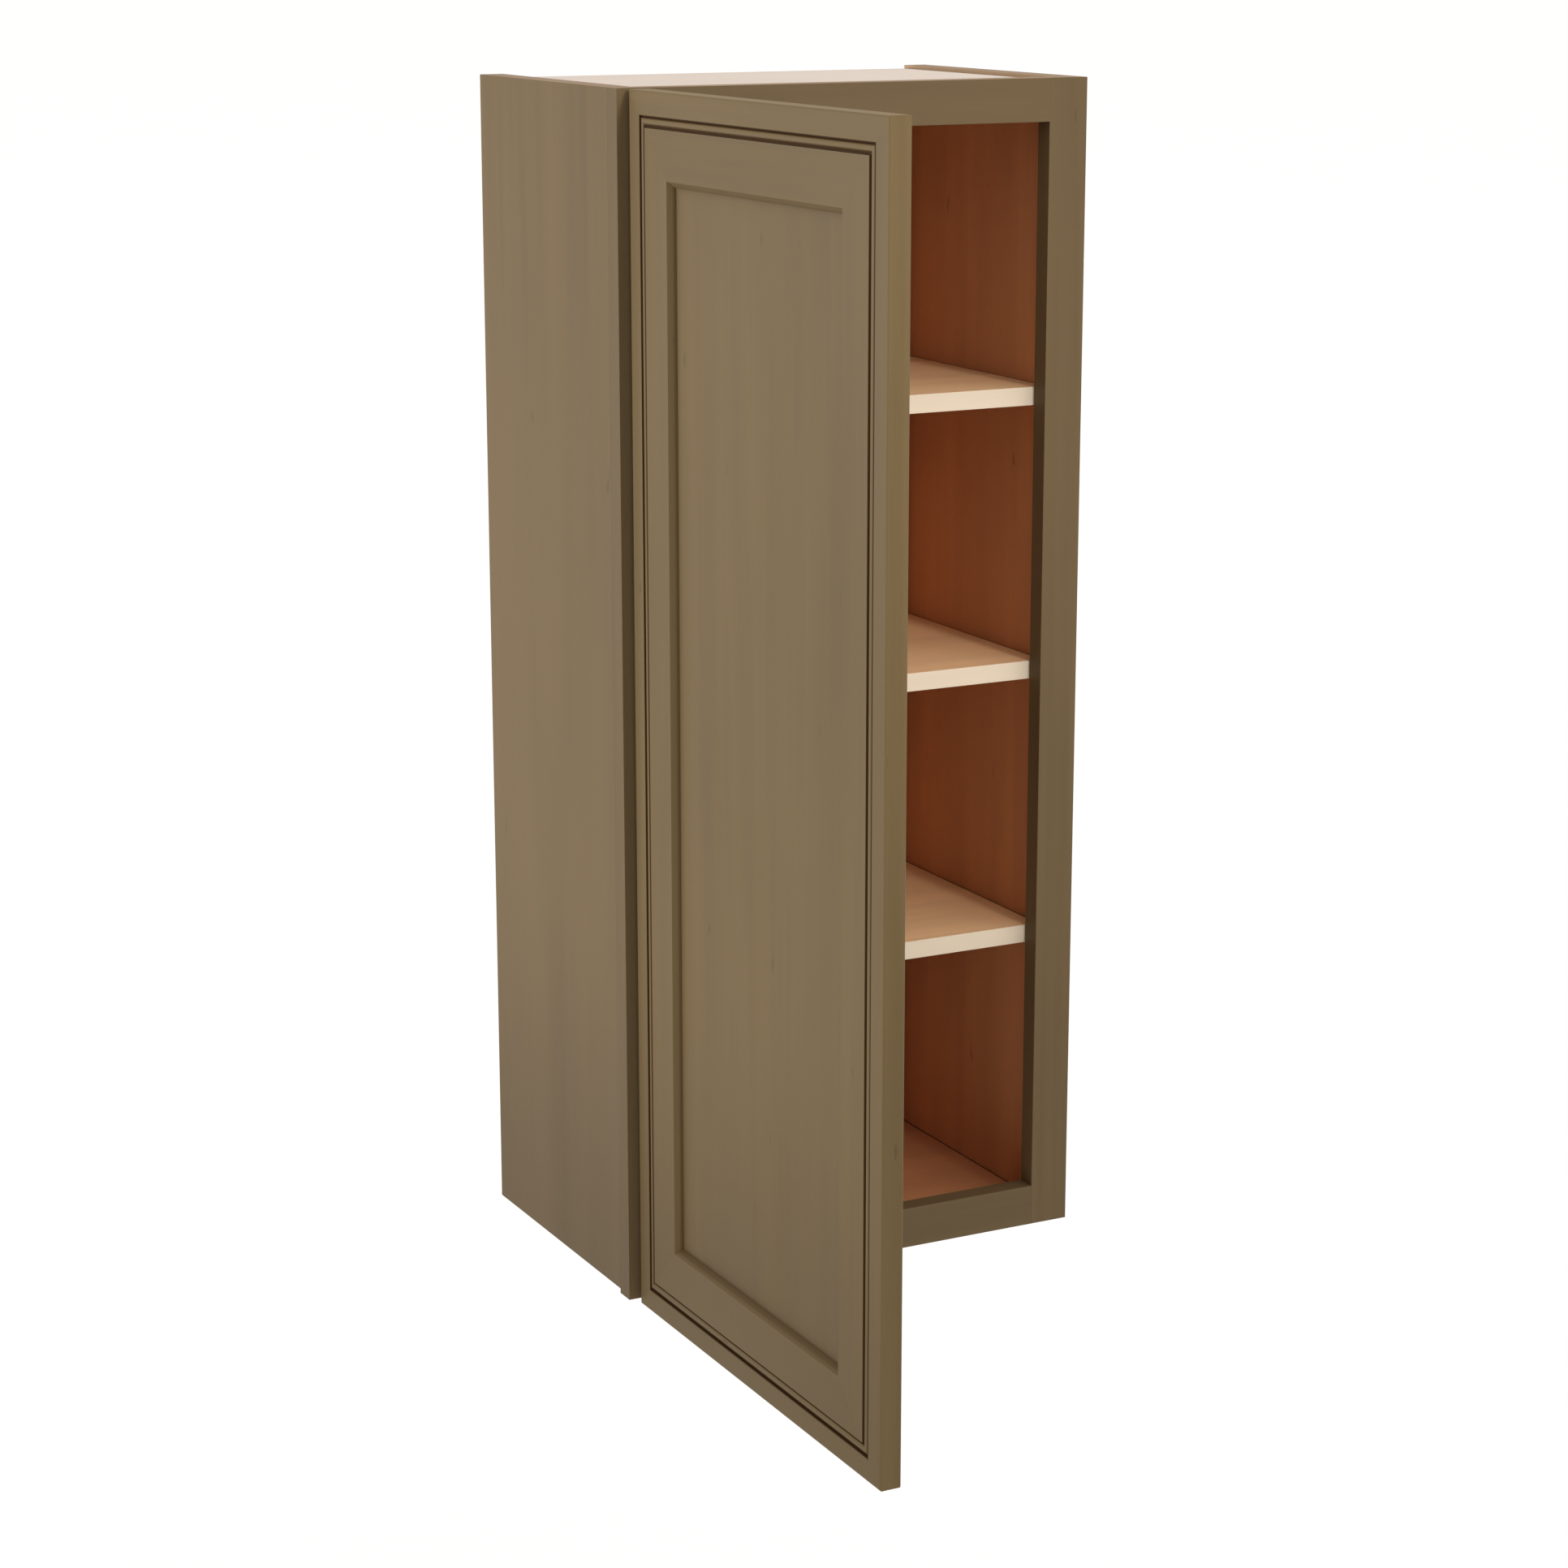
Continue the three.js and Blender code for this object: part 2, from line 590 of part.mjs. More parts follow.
// ---------------------------------------------------------------- hinge parts on the frame

// The base wraps the stile: a plate on its inner edge and a tab on its front face.
function hingeBase(name, z) {
  const inner = FRAME_WIDTH + STEEL_GAP;
  const front = -STEEL_GAP - BASE_THICKNESS;
  const plate = block(
    [inner, front, z - BASE_HALF_WIDTH],
    [inner + BASE_THICKNESS, BASE_BACK, z + BASE_HALF_WIDTH],
  );
  const tab = block(
    [FRAME_WIDTH - BASE_TAB_LENGTH, front, z - BASE_HALF_WIDTH],
    [inner + BASE_THICKNESS, -STEEL_GAP, z + BASE_HALF_WIDTH],
  );
  const hole = rod(
    '+x',
    [FRAME_WIDTH, FRAME_SCREW_FROM_FRONT, z],
    FRAME_SCREW_RADIUS + SCREW_CLEARANCE,
    2 * BASE_THICKNESS,
  );
  return piece(name, combine(plate, { add: [tab], remove: [hole] }), nickelSteel);
}

// The arm rolls round the pin, runs along the cup's floor and turns out along the base.
function hingeArm(name, z) {
  const foot = FRAME_WIDTH + BASE_THICKNESS + 2 * STEEL_GAP;
  const strapFront = PIVOT_Y - EYE_RADIUS;
  const halfWidth = ARM_HALF_WIDTH;
  const eye = rod('+z', [PIVOT_X, PIVOT_Y, z - halfWidth], EYE_RADIUS, 2 * halfWidth);
  const strap = block(
    [PIVOT_X, strapFront, z - halfWidth],
    [foot + ARM_THICKNESS, strapFront + ARM_THICKNESS, z + halfWidth],
  );
  const neck = block(
    [foot, strapFront, z - halfWidth],
    [foot + ARM_THICKNESS, BASE_BACK, z + halfWidth],
  );
  const pad = block(
    [foot, 0, z - ARM_FOOT_HALF_WIDTH],
    [foot + ARM_THICKNESS, BASE_BACK, z + ARM_FOOT_HALF_WIDTH],
  );
  const bore = rod(
    '+z',
    [PIVOT_X, PIVOT_Y, z - 2 * halfWidth],
    HINGE_PIN_RADIUS + EYE_CLEARANCE,
    4 * halfWidth,
    ROUND_SEGMENTS,
  );
  const hole = rod(
    '+x',
    [foot - CUT_MARGIN, FRAME_SCREW_FROM_FRONT, z],
    FRAME_SCREW_RADIUS + SCREW_CLEARANCE,
    ARM_THICKNESS + 2 * CUT_MARGIN,
  );
  return piece(name, combine(eye, { add: [strap, neck, pad], remove: [bore, hole] }), nickelSteel);
}

function frameScrew(name, z) {
  const seat = BASE_THICKNESS + ARM_THICKNESS + 3 * STEEL_GAP;
  const shank = FRAME_SCREW_LENGTH - SCREW_CLEARANCE;
  const steps = [
    [0, 0],
    [FRAME_SCREW_RADIUS, 2 * FRAME_SCREW_RADIUS],
    [FRAME_SCREW_RADIUS, shank + seat],
    [FRAME_SCREW_HEAD_RADIUS, shank + seat],
    [FRAME_SCREW_RADIUS, shank + seat + FRAME_SCREW_HEAD_HEIGHT],
    [0, shank + seat + FRAME_SCREW_HEAD_HEIGHT],
  ];
  const start = [FRAME_WIDTH - shank, FRAME_SCREW_FROM_FRONT, z];
  return piece(name, turned('+x', start, steps), nickelSteel);
}

function frameHardware() {
  return group(...HINGES.flatMap(({ name, height }) => [
    hingeBase(`${name}_hinge_base`, height),
    hingeArm(`${name}_hinge_arm`, height),
    frameScrew(`${name}_hinge_frame_screw`, height),
  ]));
}

// ---------------------------------------------------------------- assembly

const cabinet = group(
  caseBox(),
  faceFrame(),
  ...SHELF_NAMES.map((name, i) => shelf(name, SHELF_TOPS[i])),
  frameHardware(),
  door(),
);
cabinet.position.set(-CABINET_WIDTH / 2, -CABINET_DEPTH, -UPPER_RAIL_MIDDLE);

export default cabinet;
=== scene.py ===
"""Looks for the hanging wall cabinet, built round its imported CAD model. Lengths are in metres."""

import json
import math

import bmesh
import bpy
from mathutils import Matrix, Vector


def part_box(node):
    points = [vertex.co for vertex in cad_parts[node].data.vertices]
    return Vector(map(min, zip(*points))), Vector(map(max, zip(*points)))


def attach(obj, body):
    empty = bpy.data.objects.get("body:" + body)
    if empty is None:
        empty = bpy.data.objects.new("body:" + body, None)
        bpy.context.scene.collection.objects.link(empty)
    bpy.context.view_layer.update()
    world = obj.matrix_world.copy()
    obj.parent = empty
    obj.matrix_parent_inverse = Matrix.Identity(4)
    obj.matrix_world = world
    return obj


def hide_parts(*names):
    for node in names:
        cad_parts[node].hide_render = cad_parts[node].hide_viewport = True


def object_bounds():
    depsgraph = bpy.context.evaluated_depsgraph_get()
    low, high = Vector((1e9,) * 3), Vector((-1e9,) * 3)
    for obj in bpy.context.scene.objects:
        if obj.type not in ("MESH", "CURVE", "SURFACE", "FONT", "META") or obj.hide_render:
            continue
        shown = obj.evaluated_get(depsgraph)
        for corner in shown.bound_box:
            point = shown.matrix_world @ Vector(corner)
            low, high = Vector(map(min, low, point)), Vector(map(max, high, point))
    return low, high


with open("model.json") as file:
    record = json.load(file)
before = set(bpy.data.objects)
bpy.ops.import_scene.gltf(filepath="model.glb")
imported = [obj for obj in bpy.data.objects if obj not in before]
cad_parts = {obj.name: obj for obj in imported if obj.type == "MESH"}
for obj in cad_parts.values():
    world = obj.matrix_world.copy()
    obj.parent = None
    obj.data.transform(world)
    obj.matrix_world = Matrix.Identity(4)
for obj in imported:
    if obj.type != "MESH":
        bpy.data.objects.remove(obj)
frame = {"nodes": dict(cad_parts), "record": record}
CAD_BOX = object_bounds()
MM = 0.001
X, Y, Z = range(3)

# ---------------------------------------------------------------- camera and studio

CAMERA_PLACE = (-1.4866, -3.0301, 0.1963)
CAMERA_YAW = math.radians(27.31)
CAMERA_PITCH = math.radians(13.69)
CAMERA_LENS = 82.3             # in millimetres, as the sensor's width is
SENSOR_WIDTH = 36.0

HANGING_HEIGHT = 1.37          # the cabinet's lower edge above the floor
FLOOR_HALF_WIDTH = 120.0
FLOOR_COLOR = (0.93, 0.925, 0.915)
FLOOR_ROUGHNESS = 0.9

# The sky is an even glow with lobes of light in it: direction, strength, how narrow.
SKY_COLOR = (1.0, 0.995, 0.985)
SKY_GLOW = 0.50
SKY_LOBES = (
    ((-1.0, 0.0, 0.2), 0.45, 2.0),
    ((0.25, -0.75, 0.6), 0.95, 6.0),
    ((0.0, 0.0, 1.0), 0.80, 2.0),
)

# Round lamps whose beams fade towards the cabinet's lower end: name, place, radius, target, watts.
LAMPS = (
    ("side", (-2.9, 1.3, -0.1), 0.15, (0.12, -0.05, 1.346), 228.0),
    ("front", (0.3, -5.4, 1.6), 0.3, (0.0, -0.2, 2.784), 560.0),
)
BEAM_ANGLE = math.radians(80)
BEAM_SOFTNESS = 0.20


def make_camera():
    """The camera stands to the left of the cabinet and a little above it."""
    data = bpy.data.cameras.new("camera")
    data.lens = CAMERA_LENS
    data.sensor_width = SENSOR_WIDTH
    camera = bpy.data.objects.new("camera", data)
    camera.location = CAMERA_PLACE
    camera.rotation_euler = (math.pi / 2 - CAMERA_PITCH, 0.0, -CAMERA_YAW)
    bpy.context.scene.collection.objects.link(camera)
    bpy.context.scene.camera = camera


def make_lamp(name, place, radius, target, watts):
    """A round lamp that stands at a place and shines at a target."""
    data = bpy.data.lights.new(name, "SPOT")
    data.energy = watts
    data.shadow_soft_size = radius
    data.spot_size = BEAM_ANGLE
    data.spot_blend = BEAM_SOFTNESS
    lamp = bpy.data.objects.new(name, data)
    lamp.location = place
    lamp.rotation_mode = "QUATERNION"
    lamp.rotation_quaternion = (Vector(target) - Vector(place)).to_track_quat("-Z", "Y")
    bpy.context.scene.collection.objects.link(lamp)


def make_world():
    """A pale sky whose brightness changes smoothly with direction."""
    world = bpy.data.worlds.new("studio")
    world.use_nodes = True
    graph = world.node_tree
    background = graph.nodes["Background"]
    background.inputs["Color"].default_value = rgba(SKY_COLOR)
    direction = graph.nodes.new("ShaderNodeTexCoord").outputs["Generated"]
    glow = SKY_GLOW
    for lobe, strength, power in SKY_LOBES:
        facing = graph.nodes.new("ShaderNodeVectorMath")
        facing.operation = "DOT_PRODUCT"
        graph.links.new(direction, facing.inputs[0])
        facing.inputs[1].default_value = Vector(lobe).normalized()
        near = math_node(graph, "MAXIMUM", facing.outputs["Value"], 0.0)
        glow = math_node(graph, "MULTIPLY_ADD", math_node(graph, "POWER", near, power), strength, glow)
    graph.links.new(glow, background.inputs["Strength"])
    bpy.context.scene.world = world


def make_floor():
    """A wide pale floor, as far below the cabinet as a wall cabinet hangs."""
    height = CAD_BOX[0].z - HANGING_HEIGHT
    half = FLOOR_HALF_WIDTH
    mesh = bpy.data.meshes.new("floor")
    corners = [(-half, -half, height), (half, -half, height), (half, half, height), (-half, half, height)]
    mesh.from_pydata(corners, [], [(0, 1, 2, 3)])
    floor = bpy.data.objects.new("floor", mesh)
    bpy.context.scene.collection.objects.link(floor)
    material, _, shader = start_material("floor")
    shader.inputs["Base Color"].default_value = rgba(FLOOR_COLOR)
    shader.inputs["Roughness"].default_value = FLOOR_ROUGHNESS
    mesh.materials.append(material)


# ---------------------------------------------------------------- node helpers

def start_material(name):
    """A material with a Principled shader. Returns it, its node tree and the shader."""
    material = bpy.data.materials.new(name)
    material.use_nodes = True
    graph = material.node_tree
    graph.nodes.clear()
    output = graph.nodes.new("ShaderNodeOutputMaterial")
    shader = graph.nodes.new("ShaderNodeBsdfPrincipled")
    graph.links.new(shader.outputs["BSDF"], output.inputs["Surface"])
    return material, graph, shader


def plug(graph, value, socket):
    """Feeds a socket from another socket or from a plain value."""
    if isinstance(value, bpy.types.NodeSocket):
        graph.links.new(value, socket)
    else:
        socket.default_value = value


def math_node(graph, operation, *values, clamp=False):
    node = graph.nodes.new("ShaderNodeMath")
    node.operation = operation
    node.use_clamp = clamp
    for value, socket in zip(values, node.inputs):
        plug(graph, value, socket)
    return node.outputs["Value"]


def mix_color(graph, factor, first, second):
    node = graph.nodes.new("ShaderNodeMix")
    node.data_type = "RGBA"
    plug(graph, factor, node.inputs["Factor"])
    plug(graph, first, node.inputs["A"])
    plug(graph, second, node.inputs["B"])
    return node.outputs["Result"]


def map_range(graph, value, low, high, to_low, to_high, smooth=False):
    """Carries low to high over to to_low to to_high, and holds the end values outside."""
    node = graph.nodes.new("ShaderNodeMapRange")
    node.interpolation_type = "SMOOTHSTEP" if smooth else "LINEAR"
    names = ("Value", "From Min", "From Max", "To Min", "To Max")
    for name, number in zip(names, (value, low, high, to_low, to_high)):
        plug(graph, number, node.inputs[name])
    return node.outputs["Result"]


def grain_noise(graph, grain, across, along, detail, distortion=0.0, offset=0.0):
    """Noise stretched along the grain axis. across and along are features per metre."""
    scale = [across, across, across]
    scale["xyz".index(grain)] = along
    coordinates = graph.nodes.new("ShaderNodeTexCoord")
    mapping = graph.nodes.new("ShaderNodeMapping")
    mapping.inputs["Scale"].default_value = scale
    mapping.inputs["Location"].default_value = (offset, 1.7 * offset, 2.3 * offset)
    noise = graph.nodes.new("ShaderNodeTexNoise")
    noise.inputs["Scale"].default_value = 1.0
    noise.inputs["Detail"].default_value = detail
    noise.inputs["Distortion"].default_value = distortion
    graph.links.new(coordinates.outputs["Object"], mapping.inputs["Vector"])
    graph.links.new(mapping.outputs["Vector"], noise.inputs["Vector"])
    return noise.outputs["Fac"]


def ramp(graph, value, stops):
    """A straight-line curve through stops of position and level, with positions from 0 to 1."""
    node = graph.nodes.new("ShaderNodeValToRGB")
    elements = node.color_ramp.elements
    while len(elements) < len(stops):
        elements.new(1.0)
    for element, (position, level) in zip(elements, stops):
        element.position = position
        element.color = rgba([level] * 3)
    graph.links.new(value, node.inputs["Fac"])
    return node.outputs["Color"]


def rest_place(graph):
    """The x, y and z of the shaded point, as it lies at rest."""
    coordinates = graph.nodes.new("ShaderNodeTexCoord")
    place = graph.nodes.new("ShaderNodeSeparateXYZ")
    graph.links.new(coordinates.outputs["Object"], place.inputs["Vector"])
    return place.outputs


def rgba(color):
    return (*color, 1.0)


def shade(color, factor):
    return rgba([channel * factor for channel in color])


def two_tones(graph, tone, color, dark, pale):
    """A colour that goes from its dark share to its pale share as tone goes from 0 to 1."""
    return mix_color(graph, tone, shade(color, dark), shade(color, pale))


# ---------------------------------------------------------------- materials

STAIN = (0.129, 0.086, 0.0395)
FRAME_STAIN = (0.120, 0.080, 0.0377)
DOOR_STAIN = (0.129, 0.086, 0.0366)
# The door's top face: the door stain made lighter, as a painted highlight for the light that falls on it
# from above.
DOOR_TOP_HIGHLIGHT_STAIN = (0.194, 0.129, 0.058)
# The dark colour of the door's lines and crease, which stands for real glaze and for painted shade.
GLAZE_AND_SHADE_COLOR = (0.053, 0.026, 0.008)
INTERIOR = (0.490, 0.218, 0.100)
SHELF = (0.715, 0.450, 0.242)
CREAM = (0.59, 0.485, 0.365)
RAW_EDGE = (0.36, 0.235, 0.130)
RAW_TOP = (0.26, 0.165, 0.090)
TOP_BOARD = (0.61, 0.515, 0.435)
BACK_BOARD = (0.46, 0.22, 0.11)
NICKEL = (0.66, 0.65, 0.63)
CLEAR_PLASTIC = (0.78, 0.77, 0.73)

# Finished wood. Layers of noise: features per metre across and along the grain, detail and distortion.
FIGURE = {"across": 16.0, "along": 1.1, "detail": 4.0, "distortion": 0.6}
STREAKS = {"along": 2.5, "detail": 2.0, "distortion": 0.2}
PORES = {"across": 900.0, "along": 45.0, "detail": 2.0}
CLOUD = {"across": 5.0, "along": 3.0, "detail": 2.0}
FLECKS = {"across": 95.0, "along": 22.0, "detail": 1.0}
FIGURE_WEIGHT = 0.45
STREAK_WEIGHT = 0.45
CLOUD_WEIGHT = 0.30
TONE_RANGE = (0.44, 0.76)      # the weighted sums that give the darkest and the palest wood
STREAK_RANGE = (0.25, 0.75)
PORE_RANGE = (0.30, 0.50)
PORE_COVER = 0.6               # as a share of the wood's contrast
PORE_SHADE = 0.55              # the pores' colour, as a share of the wood's
FLECK_RANGE = (0.76, 0.82)
FLECK_SHADE = 0.45
GRAIN_RELIEF = 0.1
GRAIN_DEPTH = 0.2 * MM
WOOD_ROUGHNESS = (0.45, 0.55)
WOOD_SPECULAR = 0.12
# Lower specular where the door's glaze and painted shade lie, which makes the painted shade darker.
GLAZE_AND_SHADE_SPECULAR = 0.04
BOARD_ROUGHNESS = 0.65
PLASTIC_ROUGHNESS = 0.35

# Painted shade in the corner where a board's end meets a side.
END_SHADE = 1.9 * MM
END_FADE = 0.6 * END_SHADE
END_COVER = 0.95
END_SHADE_COLOR = (0.055, 0.023, 0.010)

DOOR_NODES = ("door_hinge_stile", "door_free_stile", "door_bottom_rail", "door_top_rail")

# The door's outer face has, from its outline inwards, a bead in a channel and a bevel down to the panel.
PROFILE_DEPTH = 7.0 * MM
PROFILE_WIDTH = 90.0 * MM
# Distance from the door's outline in millimetres, and how much dark colour lies there: glaze and painted
# shade in the two lines in the channels and at the crease round the panel, fading onto the bevel and the
# panel.
GLAZE_AND_SHADE_STEPS = (
    (20.0, 0.0), (20.05, 1.0), (22.2, 1.0), (23.2, 0.0),
    (26.2, 0.0), (26.9, 1.0), (30.0, 1.0), (30.1, 0.0),
    (71.0, 0.0), (74.2, 0.14), (75.4, 0.62), (76.8, 0.70), (77.8, 0.38), (80.0, 0.14), (85.0, 0.0),
)
# On the bottom rail the painted shade lies differently: the outer line is wider, the inner one narrower and
# the crease softer.
LOW_GLAZE_AND_SHADE_STEPS = (
    (19.0, 0.0), (19.4, 1.0), (23.0, 1.0), (23.8, 0.0),
    (27.5, 0.0), (28.1, 1.0), (29.8, 1.0), (30.0, 0.0),
    (72.2, 0.0), (73.8, 0.42), (76.2, 0.60), (77.2, 0.34), (79.5, 0.10), (85.0, 0.0),
)
CREASE_START = 60.0 * MM       # past the lines, and short of the crease at the bevel's foot
TOP_CREASE_SHADE = 0.35              # the crease under the top rail gets less painted shade than the others, as more light falls there


def door_box():
    """The box round the four members of the door."""
    boxes = [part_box(node) for node in DOOR_NODES]
    low = Vector([min(box[0][axis] for box in boxes) for axis in range(3)])
    high = Vector([max(box[1][axis] for box in boxes) for axis in range(3)])
    return low, high


def door_glaze_and_shade(graph):
    """How much glaze and painted shade covers a point of the door's outer face, which faces -X at rest."""
    low, high = door_box()
    x, y, z = rest_place(graph)

    def distance(far, near):
        return math_node(graph, "SUBTRACT", far, near)

    across = math_node(graph, "MINIMUM", distance(y, low.y), distance(high.y, y))
    from_bottom = distance(z, low.z)
    from_top = distance(high.z, z)
    inset = math_node(graph, "MINIMUM", across, math_node(graph, "MINIMUM", from_bottom, from_top))
    share = math_node(graph, "DIVIDE", inset, PROFILE_WIDTH, clamp=True)

    def glaze_and_shade_at(steps):
        return ramp(graph, share, [(step * MM / PROFILE_WIDTH, level) for step, level in steps])

    on_bottom = math_node(graph, "LESS_THAN", from_bottom, across)
    glaze_and_shade = mix_color(graph, on_bottom, glaze_and_shade_at(GLAZE_AND_SHADE_STEPS), glaze_and_shade_at(LOW_GLAZE_AND_SHADE_STEPS))
    # Less painted shade at the crease under the top rail, where more light falls.
    under_top = math_node(
        graph,
        "MULTIPLY",
        math_node(graph, "LESS_THAN", from_top, across),
        math_node(graph, "GREATER_THAN", inset, CREASE_START),
    )
    glaze_and_shade = math_node(graph, "MULTIPLY", glaze_and_shade, map_range(graph, under_top, 0.0, 1.0, 1.0, TOP_CREASE_SHADE))
    in_profile = math_node(graph, "LESS_THAN", x, low.x + PROFILE_DEPTH)
    return math_node(graph, "MULTIPLY", glaze_and_shade, in_profile)


def painted_end_shade(graph, base, half_length):
    """Paints shade on a board's last millimetres at both ends, where it meets the sides."""
    reach = math_node(graph, "ABSOLUTE", rest_place(graph)["X"])
    start = half_length - END_SHADE
    painted_shade = map_range(graph, reach, start, start + END_FADE, 0.0, END_COVER, smooth=True)
    return mix_color(graph, painted_shade, base, rgba(END_SHADE_COLOR))


def wood(name, color, grain, contrast, fleck=0.0, glaze_and_shade=False, offset=0.0, ends=0.0, fine=90.0):
    """Finished wood: broad figure, streaks and pores along the grain, and sparse dark flecks.

    fleck is how strongly the flecks show, offset gives a material a figure of its own, ends is half the
    length of a board that gets painted shade at its ends, where it meets the sides, and fine is how many
    streaks there are in a metre.
    """
    material, graph, shader = start_material(name)
    figure = grain_noise(graph, grain, offset=offset, **FIGURE)
    streaks = grain_noise(graph, grain, across=fine, offset=offset + 3.0, **STREAKS)
    pores = grain_noise(graph, grain, offset=offset + 7.0, **PORES)
    cloud = grain_noise(graph, grain, offset=offset + 11.0, **CLOUD)
    tone = math_node(graph, "MULTIPLY", streaks, STREAK_WEIGHT)
    tone = math_node(graph, "MULTIPLY_ADD", figure, FIGURE_WEIGHT, tone)
    tone = math_node(graph, "MULTIPLY_ADD", cloud, CLOUD_WEIGHT, tone)
    tone = map_range(graph, tone, *TONE_RANGE, 0.0, 1.0)
    base = two_tones(graph, tone, color, dark=1 - contrast, pale=1 + contrast)
    pore_dark = map_range(graph, pores, *PORE_RANGE, contrast * PORE_COVER, 0.0)
    base = mix_color(graph, pore_dark, base, shade(color, PORE_SHADE))
    if fleck:
        spots = grain_noise(graph, grain, offset=offset + 19.0, **FLECKS)
        rare = map_range(graph, spots, *FLECK_RANGE, 0.0, fleck, smooth=True)
        base = mix_color(graph, rare, base, shade(color, FLECK_SHADE))
    if ends:
        base = painted_end_shade(graph, base, ends)
    shader.inputs["Specular IOR Level"].default_value = WOOD_SPECULAR
    # The door's glaze and painted shade: a dark colour and a lower specular in its lines and round its
    # panel.
    if glaze_and_shade:
        glaze_and_shade_cover = door_glaze_and_shade(graph)
        base = mix_color(graph, glaze_and_shade_cover, base, rgba(GLAZE_AND_SHADE_COLOR))
        shine = map_range(graph, glaze_and_shade_cover, 0.0, 1.0, WOOD_SPECULAR, GLAZE_AND_SHADE_SPECULAR)
        graph.links.new(shine, shader.inputs["Specular IOR Level"])
    graph.links.new(base, shader.inputs["Base Color"])
    rough = map_range(graph, streaks, *STREAK_RANGE, *WOOD_ROUGHNESS)
    graph.links.new(rough, shader.inputs["Roughness"])
    relief = graph.nodes.new("ShaderNodeBump")
    relief.inputs["Strength"].default_value = GRAIN_RELIEF
    relief.inputs["Distance"].default_value = GRAIN_DEPTH
    height = math_node(graph, "MULTIPLY_ADD", streaks, 0.5, math_node(graph, "MULTIPLY", pores, 0.5))
    graph.links.new(height, relief.inputs["Height"])
    graph.links.new(relief.outputs["Normal"], shader.inputs["Normal"])
    return material


def metal(name, color, roughness):
    """Plated steel with a faint uneven sheen."""
    material, graph, shader = start_material(name)
    sheen = grain_noise(graph, "z", across=240.0, along=90.0, detail=3.0)
    base = two_tones(graph, sheen, color, dark=0.95, pale=1.04)
    graph.links.new(base, shader.inputs["Base Color"])
    shader.inputs["Metallic"].default_value = 1.0
    rough = map_range(graph, sheen, 0.3, 0.7, roughness - 0.02, roughness + 0.03)
    graph.links.new(rough, shader.inputs["Roughness"])
    return material


def soft_plastic(name, color):
    """Milky clear plastic with a slight mottle."""
    material, graph, shader = start_material(name)
    mottle = grain_noise(graph, "z", across=400.0, along=400.0, detail=2.0)
    base = two_tones(graph, mottle, color, dark=0.94, pale=1.02)
    graph.links.new(base, shader.inputs["Base Color"])
    shader.inputs["Roughness"].default_value = PLASTIC_ROUGHNESS
    shader.inputs["Subsurface Weight"].default_value = 0.2
    shader.inputs["Subsurface Radius"].default_value = (MM, MM, MM)
    return material


def raw_board(name, color, grain):
    """Pale uncoated board with short fibres."""
    material, graph, shader = start_material(name)
    fibres = grain_noise(graph, grain, across=260.0, along=60.0, detail=3.0)
    cloud = grain_noise(graph, grain, across=7.0, along=4.0, detail=3.0)
    tone = math_node(graph, "MULTIPLY_ADD", fibres, 0.4, math_node(graph, "MULTIPLY", cloud, 0.6))
    tone = map_range(graph, tone, 0.3, 0.7, 0.0, 1.0)
    base = two_tones(graph, tone, color, dark=0.94, pale=1.04)
    graph.links.new(base, shader.inputs["Base Color"])
    shader.inputs["Roughness"].default_value = BOARD_ROUGHNESS
    return material


SHELF_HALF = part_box("lower_shelf")[1].x
OPENING_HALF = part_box("right_side")[0].x

STAINED = {"contrast": 0.10, "fleck": 0.5}
VENEERED = {"color": INTERIOR, "contrast": 0.12, "fleck": 0.6, "fine": 35.0}

# The looks of each kind of wood, by the name of its material.
WOODS = {
    "stain_z": {"color": STAIN, "grain": "z", **STAINED},
    "frame_z": {"color": FRAME_STAIN, "grain": "z", **STAINED},
    "frame_x": {"color": FRAME_STAIN, "grain": "x", "offset": 5.0, **STAINED},
    "door_z": {"color": DOOR_STAIN, "grain": "z", "glaze_and_shade": True, **STAINED},
    "door_y": {"color": DOOR_STAIN, "grain": "y", "glaze_and_shade": True, "offset": 9.0, **STAINED},
    # The door's top face, made lighter as painted light from above.
    "door_top_painted_highlight": {"color": DOOR_TOP_HIGHLIGHT_STAIN, "grain": "y", "contrast": 0.08, "offset": 9.0},
    "interior_z": {"grain": "z", "offset": 2.0, **VENEERED},
    "interior_x": {"grain": "x", "offset": 4.0, **VENEERED},
    "floor_board": {"grain": "x", "offset": 4.0, "ends": OPENING_HALF, **VENEERED},
    "shelf": {"color": SHELF, "grain": "x", "contrast": 0.08, "offset": 6.0, "ends": SHELF_HALF},
    "cream": {"color": CREAM, "grain": "x", "contrast": 0.04, "offset": 8.0},
    "back": {"color": BACK_BOARD, "grain": "z", "contrast": 0.12, "fleck": 0.5, "offset": 1.0},
}
MATERIALS = {name: wood(name, **looks) for name, looks in WOODS.items()} | {
    "raw_edge": raw_board("raw_edge", RAW_EDGE, "y"),
    "raw_top": raw_board("raw_top", RAW_TOP, "y"),
    "top": raw_board("top", TOP_BOARD, "x"),
    "nickel": metal("nickel", NICKEL, 0.3),
    "plastic": soft_plastic("plastic", CLEAR_PLASTIC),
}

# ---------------------------------------------------------------- mesh helpers

BODY_OF = {node: body for body, nodes in frame["record"]["behaviour"]["bodies"].items() for node in nodes}
WELD = 0.005 * MM
NEAR = 4 * WELD                # how close to a plane a point counts as lying on it
FLAT = math.radians(1)         # faces that meet at less than this are parts of one flat face
ROUND = math.radians(32)       # and at less than this, parts of one round face
SHARP = math.radians(50)       # edges over this are shaded sharp
SCREW_SHARP = 1.5 * ROUND

